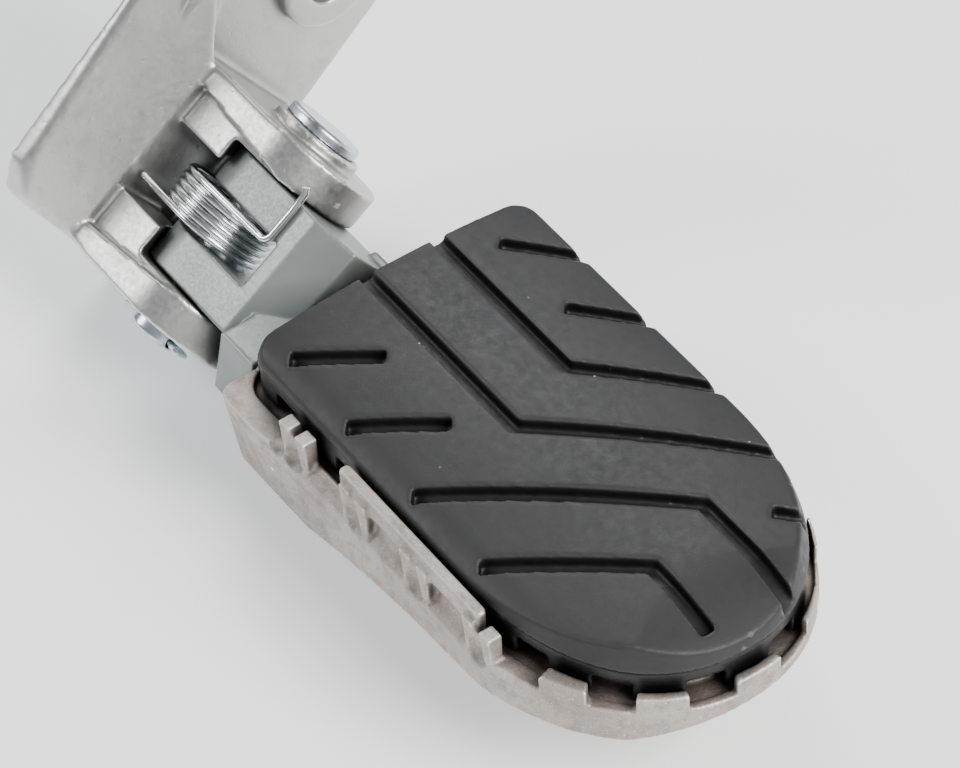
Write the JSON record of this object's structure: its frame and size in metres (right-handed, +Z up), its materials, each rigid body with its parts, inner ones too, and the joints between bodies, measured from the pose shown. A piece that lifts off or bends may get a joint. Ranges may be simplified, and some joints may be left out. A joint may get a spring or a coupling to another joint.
{
  "type": "motorcycle foot peg",
  "caption": "Folding motorcycle foot peg, right-hand side: cast hanger with clevis, torsion-sprung arm, toothed cast platform and grooved rubber pad.",
  "frame": {"origin": "on the hanger's mounting face, midway between its two frame bolt holes", "axes": "+X outboard away from the motorcycle, along the peg; +Y forward; +Z up"},
  "size_m": [0.1675, 0.0782, 0.1087],
  "materials": {
    "cast_aluminium": "satin",
    "zinc_steel": "satin",
    "spring_steel": "gloss",
    "coated_casting": "satin",
    "screw_steel": "satin",
    "blasted_stainless": "matte",
    "black_plastic": "matte",
    "pad_rubber": "matte"
  },
  "bodies": {
    "hanger": {"hanger_bracket": "cast_aluminium", "pivot_pin": "zinc_steel", "pin_end_washer": "zinc_steel", "split_pin": "zinc_steel", "return_spring": "spring_steel"},
    "peg": {"joint_arm": "coated_casting", "adapter_screws": "screw_steel", "adapter_washers": "screw_steel", "platform": "blasted_stainless", "pad_carrier": "black_plastic", "rubber_pad": "pad_rubber"}
  },
  "joints": [
    {"name": "peg_fold", "type": "hinge", "parent": "hanger", "child": "peg", "pos_m": [0.028, -0.034, -0.05], "axis": [0, -0.8192, -0.5736], "range_deg": [0, 60], "stiffness_Nm_per_rad": 0.35, "springref_deg": -68.75, "deforming": ["return_spring"]}
  ]
}
